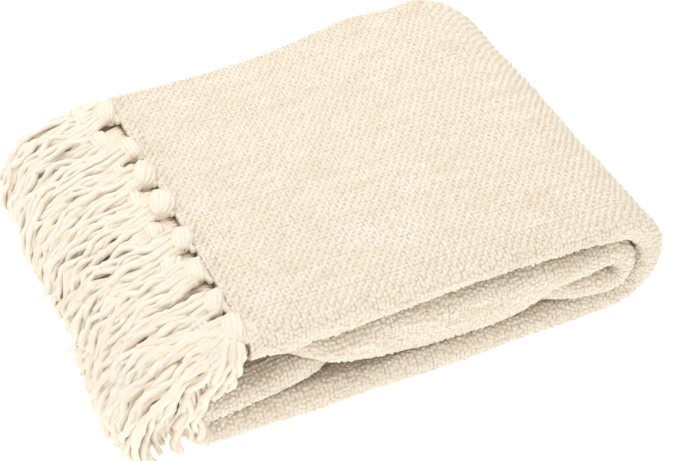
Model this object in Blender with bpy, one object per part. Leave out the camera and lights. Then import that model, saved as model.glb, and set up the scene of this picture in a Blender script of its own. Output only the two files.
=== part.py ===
# Chenille throw blanket, folded in quarters both ways, with knotted tassels at both woven ends.
# Metres, +Z up. X runs along the folded length, Y from the front edge to the back edge.
# The cloth is one sheet: book-folded across Y into a strip of four layers, and that strip is then
# folded along X into four levels, the outer two wrapped around the inner two.

import math

import bmesh
import bpy
import numpy as np
from mathutils import Vector

# Driving sizes of the cloth
SHEET_THICKNESS = 0.0046
LAYER_PITCH = 0.0059
LEVEL_PITCH = 0.0256
FOLDED_LENGTH = 0.405
FOLDED_DEPTH = 0.316
TOP_END_X = 0.0620
INNER_END_X = 0.0860

# Driving sizes of the tassels
PART_GAP = 0.0003
HEADING_WIDTH = 0.0080
TASSELS_PER_LAYER = 8
TASSEL_PITCH = 0.0385
ROOT_HALF_WIDTH = 0.0042
KNOT_HALF_WIDTH = 0.0105
KNOT_HALF_HEIGHT = 0.0044
KNOT_SIDE_HALF_HEIGHT = 0.0021
KNOT_LENGTH = 0.0130
KNOT_STAGGER = 0.0140
NECK_LENGTH = 0.0015
LOCK_WIDTH = 0.0040
LOCK_HALF_HEIGHT = 0.0020
LOCK_TAPER = 0.12
LANE_HALF_WIDTH = 0.0144

# Sizes that follow from the driving ones
HALF_SHEET = SHEET_THICKNESS / 2
STRIP_HALF = 1.5 * LAYER_PITCH + HALF_SHEET
SMALL_RADIUS = LAYER_PITCH / 2
FRONT_RADIUS = 1.5 * LAYER_PITCH
FRONT_TANGENT = FRONT_RADIUS + HALF_SHEET
INNER_TANGENT = FRONT_TANGENT + 0.0012
# The small folds reach this much further than round ones, so that they stay open where a fold slants.
SMALL_FOLD_REACH = 1.25
BACK_TANGENT = FOLDED_DEPTH - SMALL_RADIUS - HALF_SHEET
LEVEL_Z = [STRIP_HALF + level * LEVEL_PITCH for level in range(4)]
STACK_TOP = LEVEL_Z[3] + STRIP_HALF
INNER_BEND_RADIUS = LEVEL_PITCH / 2
OUTER_BEND_RADIUS = 1.5 * LEVEL_PITCH
LEFT_TANGENT = INNER_BEND_RADIUS + STRIP_HALF
RIGHT_TANGENT = FOLDED_LENGTH - OUTER_BEND_RADIUS - STRIP_HALF
DRAPE_CENTRE = LEFT_TANGENT

# How each level's front fold departs from an even one, read along X. Columns: x, front (how far the
# fold stands back from the front line), plus and minus (how far its two sides swell), and drop (how
# far the front sags as a whole).
# On the top and inner bottom levels plus is upward, on the other two it is downward.
LEVEL_FRONTS = {
    3: [(0.05, 0.000, 0.000, 0.0045, 0.000), (0.066, 0.000, 0.000, 0.0045, 0.000),
        (0.08, 0.000, 0.000, 0.0100, 0.000), (0.0927, 0.000, 0.000, 0.0108, 0.000),
        (0.105, 0.000, 0.000, 0.0071, 0.000), (0.12, 0.000, 0.000, 0.0087, 0.000),
        (0.135, 0.000, 0.000, 0.008, 0.000), (0.16, 0.000, 0.000, 0.003, 0.000),
        (0.18, 0.000, 0.000, 0.001, 0.000), (0.22, 0.0012, 0.000, 0.000, 0.000),
        (0.27, 0.0018, 0.000, 0.000, 0.000), (0.32, 0.000, 0.000, 0.000, 0.000),
        (0.34, -0.001, 0.000, 0.001, 0.000), (0.36, -0.002, 0.000, 0.0025, 0.000)],
    2: [(0.055, 0.015, 0.000, 0.000, 0.000), (0.078, 0.018, 0.000, 0.000, 0.000),
        (0.0885, 0.018, 0.000, 0.000, 0.000), (0.098, 0.012, 0.000, 0.000, 0.0022),
        (0.1105, 0.0038, 0.000, 0.000, 0.0052), (0.12, 0.0002, 0.0036, 0.000, 0.0062),
        (0.135, 0.000, 0.0084, 0.000, 0.0058), (0.155, 0.000, 0.0195, 0.000, 0.0025),
        (0.19, -0.001, 0.028, 0.000, 0.000), (0.24, -0.003, 0.028, 0.000, 0.000),
        (0.272, -0.003, 0.028, 0.000, 0.000), (0.288, -0.003, 0.018, 0.000, 0.000),
        (0.305, -0.003, 0.007, 0.000, 0.000), (0.325, -0.003, 0.003, 0.000, 0.000),
        (0.35, -0.001, 0.001, 0.000, 0.000)],
    1: [(0.02, 0.001, 0.000, 0.000, 0.000), (0.045, 0.003, 0.000, 0.000, 0.000),
        (0.075, 0.0063, 0.000, 0.000, 0.000), (0.094, 0.0093, 0.000, 0.000, 0.000),
        (0.107, 0.0128, 0.000, 0.000, 0.000), (0.135, 0.0267, 0.000, 0.000, 0.000),
        (0.155, 0.0305, 0.000, 0.000, 0.000), (0.272, 0.030, 0.000, 0.000, 0.000),
        (0.288, 0.020, 0.000, 0.000, 0.000), (0.305, 0.0095, 0.000, 0.000, 0.0015),
        (0.325, 0.0015, 0.000, 0.000, 0.0022), (0.35, -0.002, 0.000, 0.000, 0.0025)],
    0: [(0.02, 0.002, 0.000, 0.001, 0.000), (0.11, 0.000, 0.000, 0.003, 0.000),
        (0.20, -0.001, 0.000, 0.001, 0.000), (0.36, 0.001, 0.000, 0.000, 0.000)],
}
CROWN_HEIGHT = 0.0012
# The swell holds from the front line to the first depth and has gone at the second.
FRONT_SWELL_FULL = 0.008
FRONT_SWELL_END = 0.027
# A fold that swells by this much also reaches this share deeper.
SWELL_FOR_GROWTH = 0.020
GROWTH_SHARE = 0.35
GROWTH_GONE = 0.10

# Places along X where the strip's path has a station on each level
TOP_X = [TOP_END_X, 0.066, 0.078, 0.0927, 0.108, 0.135, 0.16, 0.21, 0.26, 0.31, RIGHT_TANGENT]
FLOOR_X = [RIGHT_TANGENT, 0.29, 0.20, 0.11, 0.06, LEFT_TANGENT]
INNER_LOW_X = [LEFT_TANGENT, 0.07, 0.094, 0.107, 0.121, 0.135, 0.20, 0.272, 0.288, 0.305, 0.325,
               RIGHT_TANGENT]
INNER_HIGH_X = [RIGHT_TANGENT, 0.325, 0.305, 0.288, 0.272, 0.24, 0.19, 0.155, 0.135, 0.12, 0.1105,
                0.098, 0.0885, INNER_END_X]
OUTER_BEND_STEPS = 8
INNER_BEND_STEPS = 6

# Where the section's points stand. Runs are the even pieces of the section and hold shares of their
# length, closer together near the front; folds are the odd pieces and hold a number of steps.
RUN_SHARES = {
    0: [0, 0.58, 0.935, 0.97, 1],
    2: [0, 0.03, 0.065, 0.42, 1],
    4: [0, 0.55, 0.94, 1],
    6: [0, 0.06, 0.45, 1],
}
FOLD_STEPS = {1: 6, 3: 4, 5: 4}
# Which run of the section carries each tassel row, from the row on the strip's outer side inwards
RUN_OF_ROW = [2, 4, 6, 0]

# Where the back edge bulges past or falls short of the straight line, by the place of the strip's
# middle. Columns: x, shift
BACK_EDGE = [(0.00, 0.000), (0.15, -0.002), (0.20, 0.002), (0.25, 0.013), (0.285, 0.020),
             (0.32, 0.017), (0.35, 0.021), (0.3706, 0.008), (0.394, -0.020)]

# Tassel rows from the top down. Columns: locks in a tassel, sideways shift in tassel pitches
TOP_ROWS = [(4, 0.0), (4, 0.5), (3, 0.0), (3, 0.5)]
INNER_ROWS = [(2, 0.0), (2, 0.5), (2, 0.0), (2, 0.5)]
# How far each tassel along a row stands from its even place
TASSEL_DRIFT = [0.0040, -0.0005, -0.0040, -0.0080, -0.0010, -0.0020, -0.0070, 0.0030]

CREAM = (0.86, 0.78, 0.64, 1.0)
YARN_CREAM = (0.90, 0.82, 0.68, 1.0)


def smooth(low, high, value):
    """Eased step from 0 at low to 1 at high."""
    t = min(1.0, max(0.0, (value - low) / (high - low)))
    return t * t * (3 - 2 * t)


def readTable(table, x, column):
    return float(np.interp(x, [row[0] for row in table], [row[column] for row in table]))


# The strip's section across Y, as runs and round folds, from one selvage to the other.
# Each row: kind, centre or start (y, n), then the end (y, n), or the radius, angles and reach in y.
def sectionPieces():
    return [
        ("run", (BACK_TANGENT, -1.5 * LAYER_PITCH), (FRONT_TANGENT, -1.5 * LAYER_PITCH)),
        ("arc", (FRONT_TANGENT, 0.0), FRONT_RADIUS, -90, -270, 1.0),
        ("run", (FRONT_TANGENT, 1.5 * LAYER_PITCH), (BACK_TANGENT, 1.5 * LAYER_PITCH)),
        ("arc", (BACK_TANGENT, LAYER_PITCH), SMALL_RADIUS, 90, -90, SMALL_FOLD_REACH),
        ("run", (BACK_TANGENT, 0.5 * LAYER_PITCH), (INNER_TANGENT, 0.5 * LAYER_PITCH)),
        ("arc", (INNER_TANGENT, 0.0), SMALL_RADIUS, 90, 270, SMALL_FOLD_REACH),
        ("run", (INNER_TANGENT, -0.5 * LAYER_PITCH), (BACK_TANGENT, -0.5 * LAYER_PITCH)),
    ]


def sectionPoint(piece, t):
    """Point (y, n) at share t of one piece of the section."""
    if piece[0] == "run":
        start, end = piece[1], piece[2]
        return (start[0] + (end[0] - start[0]) * t, start[1] + (end[1] - start[1]) * t)
    centre, radius, first, last, reach = piece[1:]
    angle = math.radians(first + (last - first) * t)
    return (centre[0] + radius * reach * math.cos(angle), centre[1] + radius * math.sin(angle))


def clothSection():
    """Points (y, n) of the section, closer together near the front folds."""
    points = []
    for index, piece in enumerate(sectionPieces()):
        if index in RUN_SHARES:
            shares = RUN_SHARES[index]
        else:
            shares = [step / FOLD_STEPS[index] for step in range(1, FOLD_STEPS[index])]
        points += [sectionPoint(piece, share) for share in shares]
    return points


# The strip's path in XZ, from the top end around to the inner end. A station holds x, z, the
# path's left-hand normal, and the fold figures (front, plus, minus, drop) that hold there.
def runStations(level, positions):
    heading = 1 if level in (3, 1) else -1
    table = LEVEL_FRONTS[level]
    stations = []
    for x in positions:
        figures = tuple(readTable(table, x, column) for column in (1, 2, 3, 4))
        stations.append((x, LEVEL_Z[level], 0.0, float(heading), figures))
    return stations


def bendStations(centre, radius, angles, side, before, after):
    """Stations of a round bend. side is 1 where the path's left-hand normal points away from its centre."""
    steps = OUTER_BEND_STEPS if radius > INNER_BEND_RADIUS else INNER_BEND_STEPS
    stations = []
    for step in range(1, steps):
        share = step / steps
        angle = math.radians(angles[0] + (angles[1] - angles[0]) * share)
        outX = math.cos(angle)
        outZ = math.sin(angle)
        figures = tuple(a + (b - a) * share for a, b in zip(before[4], after[4]))
        x = centre[0] + radius * outX
        z = centre[1] + radius * outZ
        stations.append((x, z, side * outX, side * outZ, figures))
    return stations


def pathStations():
    topRun = runStations(3, TOP_X)
    floorRun = runStations(0, FLOOR_X)
    innerLow = runStations(1, INNER_LOW_X)
    innerHigh = runStations(2, INNER_HIGH_X)
    outerCentre = (RIGHT_TANGENT, STACK_TOP / 2)
    leftCentre = (LEFT_TANGENT, (LEVEL_Z[0] + LEVEL_Z[1]) / 2)
    innerCentre = (RIGHT_TANGENT, (LEVEL_Z[1] + LEVEL_Z[2]) / 2)
    outerBend = bendStations(outerCentre, OUTER_BEND_RADIUS, (90, -90), 1, topRun[-1], floorRun[0])
    leftBend = bendStations(leftCentre, INNER_BEND_RADIUS, (270, 90), 1, floorRun[-1], innerLow[0])
    innerBend = bendStations(innerCentre, INNER_BEND_RADIUS, (-90, 90), -1, innerLow[-1], innerHigh[0])
    return topRun + outerBend + floorRun + leftBend + innerLow + innerBend + innerHigh


def foldedPoint(station, y, n):
    """World point of the sheet's middle surface, with the uneven fronts and back edge."""
    x, z, normalX, normalZ, (front, plus, minus, drop) = station
    swell = 1 - smooth(FRONT_SWELL_FULL, FRONT_SWELL_END, y)
    side = plus if n > 0 else minus
    share = abs(n) / FRONT_RADIUS
    reach = n + math.copysign(side * share * swell, n)
    growth = GROWTH_SHARE * (plus + minus) / SWELL_FOR_GROWTH * (1 - smooth(FRONT_TANGENT, GROWTH_GONE, y))
    placedY = y + growth * min(y, FRONT_TANGENT) + front * (1 - y / FOLDED_DEPTH) ** 2
    backShare = smooth(0.35, 1.0, y / FOLDED_DEPTH)
    pointX = x + normalX * reach
    pointZ = z + normalZ * reach - drop * swell
    placedY += readTable(BACK_EDGE, x, 1) * backShare * (0.45 + 0.55 * z / LEVEL_Z[3])
    waves = math.sin(11 * pointX + 0.6) * math.cos(9 * y)
    crown = CROWN_HEIGHT * waves * smooth(0.2 * STACK_TOP, STACK_TOP, pointZ)
    return Vector((pointX, placedY, pointZ + crown))


def gridNormals(grid):
    """Unit normals of a grid of points, by central differences."""
    data = np.array([[tuple(point) for point in row] for row in grid])
    along = np.gradient(data, axis=0)
    across = np.gradient(data, axis=1)
    normals = np.cross(along, across)
    return normals / np.linalg.norm(normals, axis=2, keepdims=True)


def thickGrid(builder, grid):
    """Vertices of both faces of a sheet on a grid of middle points."""
    normals = gridNormals(grid)
    upper = []
    lower = []
    for i, row in enumerate(grid):
        offsets = [Vector(normal) * HALF_SHEET for normal in normals[i]]
        upper.append([builder.verts.new(point + offset) for point, offset in zip(row, offsets)])
        lower.append([builder.verts.new(point - offset) for point, offset in zip(row, offsets)])
    return upper, lower


def skinGrid(builder, upper, lower, skipEnd=()):
    """Faces of a thick sheet. skipEnd lists the quads of the last row's edge that stay open."""
    rows, columns = len(upper), len(upper[0])
    for i in range(rows - 1):
        for j in range(columns - 1):
            builder.faces.new((upper[i][j], upper[i + 1][j], upper[i + 1][j + 1], upper[i][j + 1]))
            builder.faces.new((lower[i][j], lower[i][j + 1], lower[i + 1][j + 1], lower[i + 1][j]))
        for j in (0, columns - 1):
            builder.faces.new((upper[i][j], lower[i][j], lower[i + 1][j], upper[i + 1][j]))
    for i in (0, rows - 1):
        for j in range(columns - 1):
            if i and j in skipEnd:
                continue
            builder.faces.new((upper[i][j], upper[i][j + 1], lower[i][j + 1], lower[i][j]))


def finishObject(builder, name, material):
    bmesh.ops.recalc_face_normals(builder, faces=builder.faces)
    mesh = bpy.data.meshes.new(name)
    builder.to_mesh(mesh)
    builder.free()
    mesh.shade_smooth()
    mesh.set_sharp_from_angle(angle=math.radians(50))
    mesh.materials.append(material)
    item = bpy.data.objects.new(name, mesh)
    bpy.context.scene.collection.objects.link(item)
    return item


def makeMaterial(name, colour, roughness):
    material = bpy.data.materials.new(name)
    material.use_nodes = True
    shader = material.node_tree.nodes["Principled BSDF"]
    shader.inputs["Base Color"].default_value = colour
    shader.inputs["Roughness"].default_value = roughness
    shader.inputs["Metallic"].default_value = 0.0
    return material


def makeCloth(material):
    builder = bmesh.new()
    section = clothSection()
    grid = [[foldedPoint(station, y, n) for y, n in section] for station in pathStations()]
    upper, lower = thickGrid(builder, grid)
    skinGrid(builder, upper, lower)
    return finishObject(builder, "blanket", material)


def tasselPlaces(shift):
    """Places along Y of the tassels of one row."""
    first = (FOLDED_DEPTH - TASSEL_PITCH * (TASSELS_PER_LAYER - 0.5)) / 2
    return [first + TASSEL_PITCH * (index + shift) + drift for index, drift in enumerate(TASSEL_DRIFT)]


def headingSection(rows):
    """Section points of the heading strip, with three at each tassel's root, and those roots."""
    rootPlaces = {}
    for index, (locks, shift) in enumerate(rows):
        rootPlaces[RUN_OF_ROW[index]] = [(place, locks, index) for place in tasselPlaces(shift)]
    points = []
    roots = []
    for index, piece in enumerate(sectionPieces()):
        if index in FOLD_STEPS:
            steps = FOLD_STEPS[index]
            points += [sectionPoint(piece, step / steps) for step in range(1, steps)]
            continue
        (startY, n), (endY, _) = piece[1], piece[2]
        heading = 1 if endY > startY else -1
        points.append((startY, n))
        for place, locks, row in rootPlaces[index][::heading]:
            roots.append((len(points), heading, locks, row))
            points += [(place + heading * offset, n) for offset in (-ROOT_HALF_WIDTH, 0.0, ROOT_HALF_WIDTH)]
        points.append((endY, n))
    return points, roots


def bridgeLines(builder, first, second):
    """Triangles between two lines of vertices that need not have the same count."""
    i = 0
    j = 0
    while i < len(first) - 1 or j < len(second) - 1:
        nextFirst = (i + 1) / (len(first) - 1)
        nextSecond = (j + 1) / (len(second) - 1)
        if j == len(second) - 1 or (i < len(first) - 1 and nextFirst <= nextSecond):
            builder.faces.new((first[i], first[i + 1], second[j]))
            i += 1
        else:
            builder.faces.new((first[i], second[j + 1], second[j]))
            j += 1


def joinLoops(builder, first, second):
    count = len(first)
    for k in range(count):
        builder.faces.new((first[k], first[(k + 1) % count], second[(k + 1) % count], second[k]))


def addTassel(builder, root, knotEnd, radius, locks):
    """A knot that grows from six root vertices, and the locks that fall from it to the floor.
    root runs low y to high y along the top, then back along the bottom. The locks bend over a round
    drape of the given radius, which keeps the rows nested."""
    place = (root[1].co.y + root[4].co.y) / 2
    z = (root[1].co.z + root[4].co.z) / 2
    knotStart = knotEnd + KNOT_LENGTH
    # Columns: x, half width, half height at the sides and in the middle
    knotRings = [
        (knotStart, ROOT_HALF_WIDTH, HALF_SHEET, HALF_SHEET),
        (knotStart - 0.30 * KNOT_LENGTH, KNOT_HALF_WIDTH, KNOT_SIDE_HALF_HEIGHT, KNOT_HALF_HEIGHT),
        (knotStart - 0.72 * KNOT_LENGTH, KNOT_HALF_WIDTH, KNOT_SIDE_HALF_HEIGHT, KNOT_HALF_HEIGHT),
    ]
    loop = root
    for x, halfWidth, sideHalf, midHalf in knotRings:
        outline = [(-halfWidth, sideHalf), (0.0, midHalf), (halfWidth, sideHalf)]
        outline += [(across, -up) for across, up in reversed(outline)]
        ring = [builder.verts.new((x, place + across, z + up)) for across, up in outline]
        joinLoops(builder, loop, ring)
        loop = ring
    halfWidth = locks * LOCK_WIDTH / 2
    lines = [place - halfWidth + LOCK_WIDTH * k for k in range(locks + 1)]
    top = [builder.verts.new((knotEnd, y, z + LOCK_HALF_HEIGHT)) for y in lines]
    bottom = [builder.verts.new((knotEnd, y, z - LOCK_HALF_HEIGHT)) for y in lines]
    bridgeLines(builder, loop[:3], top)
    bridgeLines(builder, [loop[5], loop[4], loop[3]], bottom)
    builder.faces.new((loop[0], loop[5], bottom[0], top[0]))
    builder.faces.new((loop[2], loop[3], bottom[-1], top[-1]))

    # Rows of a lock's path: angle on the drape, and how much of the sideways spread is reached
    turns = [(127, 0.45), (165, 0.85)]
    if knotEnd - DRAPE_CENTRE > LOCK_WIDTH:
        turns.insert(0, (90, 0.10))
    path = []
    for angle, share in turns:
        turn = math.radians(angle)
        x = DRAPE_CENTRE + radius * math.cos(turn)
        path.append((x, DRAPE_CENTRE + radius * math.sin(turn), turn, share))
    path.append((DRAPE_CENTRE - radius, 0.0, math.pi, 1.0))
    spread = (LANE_HALF_WIDTH - LOCK_WIDTH / 2) / (halfWidth - LOCK_WIDTH / 2)
    for k in range(locks):
        centre = (lines[k] + lines[k + 1]) / 2 - place
        loop = [top[k], top[k + 1], bottom[k + 1], bottom[k]]
        for x, height, turn, share in path:
            outX = math.cos(turn) * LOCK_HALF_HEIGHT
            outZ = math.sin(turn) * LOCK_HALF_HEIGHT
            middle = place + centre * (1 + (spread - 1) * share)
            narrow = LOCK_WIDTH / 2 * (1 - LOCK_TAPER * share)
            corners = [(1, -1), (1, 1), (-1, 1), (-1, -1)]
            ring = [
                builder.verts.new((x + out * outX, middle + side * narrow, height + out * outZ))
                for out, side in corners
            ]
            joinLoops(builder, loop, ring)
            loop = ring
        builder.faces.new(loop)


def makeFringe(name, level, endX, rows, material):
    """The heading strip at one end of the cloth, with its rows of knots and locks."""
    builder = bmesh.new()
    section, roots = headingSection(rows)
    nearX = endX - PART_GAP
    farX = nearX - HEADING_WIDTH
    endStation = runStations(level, [endX])[0]
    stations = [(x,) + endStation[1:] for x in (nearX, farX)]
    upSide = endStation[3]
    grid = [[foldedPoint(station, y, n) for y, n in section] for station in stations]
    upper, lower = thickGrid(builder, grid)
    openQuads = {first + k for first, _, _, _ in roots for k in (0, 1)}
    skinGrid(builder, upper, lower, openQuads)
    for first, heading, locks, row in roots:
        lines = [edge[1][first:first + 3][::heading] for edge in (upper, lower)]
        lines.sort(key=lambda line: line[1].co.z)
        bottomLine, topLine = lines
        root = topLine + bottomLine[::-1]
        knotEnd = farX - NECK_LENGTH - KNOT_LENGTH - KNOT_STAGGER * (row % 2)
        radius = LEVEL_Z[level] + upSide * (1.5 - row) * LAYER_PITCH - DRAPE_CENTRE
        addTassel(builder, root, knotEnd, radius, locks)
    return finishObject(builder, name, material)


def centreOnFloor(items):
    """Shifts all meshes so that the part's box stands with its bottom centre at the origin."""
    corners = np.array([tuple(vertex.co) for item in items for vertex in item.data.vertices])
    low, high = corners.min(axis=0), corners.max(axis=0)
    shift = Vector((-(low[0] + high[0]) / 2, -(low[1] + high[1]) / 2, -low[2]))
    for item in items:
        for vertex in item.data.vertices:
            vertex.co += shift


def main():
    for item in list(bpy.data.objects):
        bpy.data.objects.remove(item, do_unlink=True)
    clothMaterial = makeMaterial("wovenChenille", CREAM, 0.95)
    yarnMaterial = makeMaterial("fringeYarn", YARN_CREAM, 0.95)
    items = [
        makeCloth(clothMaterial),
        makeFringe("fringe_top", 3, TOP_END_X, TOP_ROWS, yarnMaterial),
        makeFringe("fringe_inner", 2, INNER_END_X, INNER_ROWS, yarnMaterial),
    ]
    centreOnFloor(items)
    for item in items:
        print(item.name, "faces", len(item.data.polygons))


main()
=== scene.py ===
import math

import bpy
import numpy as np
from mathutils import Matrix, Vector


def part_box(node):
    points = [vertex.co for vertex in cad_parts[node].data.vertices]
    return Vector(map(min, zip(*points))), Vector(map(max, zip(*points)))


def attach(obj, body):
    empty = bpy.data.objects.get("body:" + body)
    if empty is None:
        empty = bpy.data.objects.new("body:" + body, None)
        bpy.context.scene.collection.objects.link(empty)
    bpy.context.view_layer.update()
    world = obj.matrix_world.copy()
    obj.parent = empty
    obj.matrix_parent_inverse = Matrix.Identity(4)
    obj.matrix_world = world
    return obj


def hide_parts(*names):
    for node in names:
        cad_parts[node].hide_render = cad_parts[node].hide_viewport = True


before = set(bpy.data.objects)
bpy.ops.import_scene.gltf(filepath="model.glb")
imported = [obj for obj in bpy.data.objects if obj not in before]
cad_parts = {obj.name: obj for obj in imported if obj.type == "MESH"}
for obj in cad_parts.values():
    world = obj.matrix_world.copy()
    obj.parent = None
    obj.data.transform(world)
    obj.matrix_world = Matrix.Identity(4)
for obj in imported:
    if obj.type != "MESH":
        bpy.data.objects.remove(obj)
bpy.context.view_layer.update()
print("frame loaded")


# The folded throw's own sizes, in metres, as its solids have them. x runs from the round left fold
# to the outer right fold, y from the front edge to the back, z up from the floor.
fold = {
    "sheet": 0.0046,
    "layerPitch": 0.0059,
    "levelPitch": 0.0256,
    "length": 0.405,
    "depth": 0.316,
    "topEndX": 0.0620,
    "innerEndX": 0.0860,
    "heading": 0.0083,  # the woven strip that the tassels grow from, with its parting
    "parting": 0.0003,
    "swellFull": 0.008,
    "swellEnd": 0.027,
    "swellForGrowth": 0.020,
    "growthShare": 0.35,
    "growthGone": 0.10,
    "smallReach": 1.25,  # the small folds reach this much further than round ones
    "easeRun": 0.012,  # how far along the path each change in a front fold is eased
    "crown": 0.0012,  # the upper levels' soft waves
}
halfSheet = fold["sheet"] / 2
stripHalf = 1.5 * fold["layerPitch"] + halfSheet
smallRadius = fold["layerPitch"] / 2
frontRadius = 1.5 * fold["layerPitch"]
frontTangent = frontRadius + halfSheet
innerTangent = frontTangent + 0.0012
backTangent = fold["depth"] - smallRadius - halfSheet
levelZ = [stripHalf + level * fold["levelPitch"] for level in range(4)]
stackTop = levelZ[3] + stripHalf
innerBend = fold["levelPitch"] / 2
outerBend = 1.5 * fold["levelPitch"]
leftTangent = innerBend + stripHalf
rightTangent = fold["length"] - outerBend - stripHalf

# How each level's front fold departs from an even one. Columns: x, front, plus side, minus side, drop
levelFronts = {
    3: [(0.05, 0, 0, 0.0045, 0), (0.066, 0, 0, 0.0045, 0),
        (0.08, 0, 0, 0.0100, 0), (0.0927, 0, 0, 0.0108, 0),
        (0.105, 0, 0, 0.0071, 0), (0.12, 0, 0, 0.0087, 0),
        (0.135, 0, 0, 0.008, 0), (0.16, 0, 0, 0.003, 0),
        (0.18, 0, 0, 0.001, 0), (0.22, 0.0012, 0, 0, 0),
        (0.27, 0.0018, 0, 0, 0), (0.32, 0, 0, 0, 0),
        (0.34, -0.001, 0, 0.001, 0), (0.36, -0.002, 0, 0.0025, 0)],
    2: [(0.055, 0.015, 0, 0, 0), (0.078, 0.018, 0, 0, 0),
        (0.0885, 0.018, 0, 0, 0), (0.098, 0.012, 0, 0, 0.0022),
        (0.1105, 0.0038, 0, 0, 0.0052), (0.12, 0.0002, 0.0036, 0, 0.0062),
        (0.135, 0, 0.0084, 0, 0.0058), (0.155, 0, 0.0195, 0, 0.0025),
        (0.19, -0.001, 0.028, 0, 0), (0.24, -0.003, 0.028, 0, 0),
        (0.272, -0.003, 0.028, 0, 0), (0.288, -0.003, 0.018, 0, 0),
        (0.305, -0.003, 0.007, 0, 0), (0.325, -0.003, 0.003, 0, 0),
        (0.35, -0.001, 0.001, 0, 0)],
    1: [(0.02, 0.001, 0, 0, 0), (0.045, 0.003, 0, 0, 0),
        (0.075, 0.0063, 0, 0, 0), (0.094, 0.0093, 0, 0, 0),
        (0.107, 0.0128, 0, 0, 0), (0.135, 0.0267, 0, 0, 0),
        (0.155, 0.0305, 0, 0, 0), (0.272, 0.030, 0, 0, 0),
        (0.288, 0.020, 0, 0, 0), (0.305, 0.0095, 0, 0, 0.0015),
        (0.325, 0.0015, 0, 0, 0.0022), (0.35, -0.002, 0, 0, 0.0025)],
    0: [(0.02, 0.002, 0, 0.001, 0), (0.11, 0, 0, 0.003, 0),
        (0.20, -0.001, 0, 0.001, 0), (0.36, 0.001, 0, 0, 0)],
}
# How the back edge bulges, by the place of the strip's middle. Columns: x, shift
backEdge = [(0.00, 0), (0.15, -0.002), (0.20, 0.002), (0.25, 0.013), (0.285, 0.020),
            (0.32, 0.017), (0.35, 0.021), (0.3706, 0.008), (0.394, -0.020)]


def eased(low, high, value):
    t = np.clip((value - low) / (high - low), 0.0, 1.0)
    return t * t * (3 - 2 * t)


def tableColumn(table, x, column):
    return np.interp(x, [row[0] for row in table], [row[column] for row in table])


def runAlong(first, second):
    # distance along a line of points, from its first one
    return np.concatenate([[0], np.cumsum(np.hypot(np.diff(first), np.diff(second)))])


def runRows(level, start, end, step):
    # rows of x, z, normal x, normal z, front, plus, minus, drop along one straight level
    count = max(2, int(abs(end - start) / step))
    x = np.linspace(start, end, count)
    heading = 1.0 if level in (3, 1) else -1.0
    columns = [x, np.full(count, levelZ[level]), np.zeros(count), np.full(count, heading)]
    columns += [tableColumn(levelFronts[level], x, column) for column in (1, 2, 3, 4)]
    return np.column_stack(columns)


def bendRows(centre, radius, angles, side, before, after, step):
    count = max(6, int(radius * math.pi / step))
    share = np.linspace(0, 1, count + 1)[1:-1]
    turn = np.radians(angles[0] + (angles[1] - angles[0]) * share)
    figures = before[4:] + (after[4:] - before[4:]) * share[:, None]
    return np.column_stack([
        centre[0] + radius * np.cos(turn), centre[1] + radius * np.sin(turn),
        side * np.cos(turn), side * np.sin(turn), figures,
    ])


def pathTable(step):
    # the strip's path from the top end round to the inner end, as rows with their run along it
    top = runRows(3, fold["topEndX"] - fold["heading"], rightTangent, step)
    floor = runRows(0, rightTangent, leftTangent, step)
    low = runRows(1, leftTangent, rightTangent, step)
    high = runRows(2, rightTangent, fold["innerEndX"] - fold["heading"], step)
    outerCentre = (rightTangent, stackTop / 2)
    leftCentre = (leftTangent, (levelZ[0] + levelZ[1]) / 2)
    innerCentre = (rightTangent, (levelZ[1] + levelZ[2]) / 2)
    rows = np.vstack([
        top, bendRows(outerCentre, outerBend, (90, -90), 1, top[-1], floor[0], step),
        floor, bendRows(leftCentre, innerBend, (270, 90), 1, floor[-1], low[0], step),
        low, bendRows(innerCentre, innerBend, (-90, 90), -1, low[-1], high[0], step), high,
    ])
    run = runAlong(rows[:, 0], rows[:, 1])
    even = np.linspace(0, run[-1], int(run[-1] / step) + 1)
    rows = np.column_stack([np.interp(even, run, rows[:, column]) for column in range(8)])
    window = max(3, int(fold["easeRun"] / step) | 1)
    kernel = np.hanning(window + 2)[1:-1]
    kernel /= kernel.sum()
    for column in (4, 5, 6, 7):
        padded = np.pad(rows[:, column], window // 2, mode="edge")
        rows[:, column] = np.convolve(padded, kernel, mode="valid")
    return even, rows


def sectionTable(step):
    # the strip's section across y, from one selvage to the other, as run, y and n
    def straight(start, end, n):
        count = max(2, int(abs(end - start) / step))
        return np.column_stack([np.linspace(start, end, count), np.full(count, n)])

    def arc(centreY, centreN, radius, first, last, reach):
        count = max(8, int(radius * math.pi / step))
        turn = np.radians(np.linspace(first, last, count + 1)[1:-1])
        y = centreY + radius * reach * np.cos(turn)
        return np.column_stack([y, centreN + radius * np.sin(turn)])

    pitch = fold["layerPitch"]
    pieces = [
        straight(backTangent, frontTangent, -1.5 * pitch),
        arc(frontTangent, 0.0, frontRadius, -90, -270, 1.0),
        straight(frontTangent, backTangent, 1.5 * pitch),
        arc(backTangent, pitch, smallRadius, 90, -90, fold["smallReach"]),
        straight(backTangent, innerTangent, 0.5 * pitch),
        arc(innerTangent, 0.0, smallRadius, 90, 270, fold["smallReach"]),
        straight(innerTangent, backTangent, -0.5 * pitch),
    ]
    points = np.vstack(pieces)
    run = runAlong(points[:, 0], points[:, 1])
    ends = np.cumsum([len(piece) for piece in pieces]) - 1
    return run, points, run[ends]


pathRun, pathRows = pathTable(0.0015)
sectionRun, sectionPoints, sectionEnds = sectionTable(0.0004)
pathLength = pathRun[-1]
sectionLength = sectionRun[-1]
# Marks along the section: where the front fold, the outer layer and the back fold begin and end
frontFrom, frontTo, outerTo, backTo = sectionEnds[:4]

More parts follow.
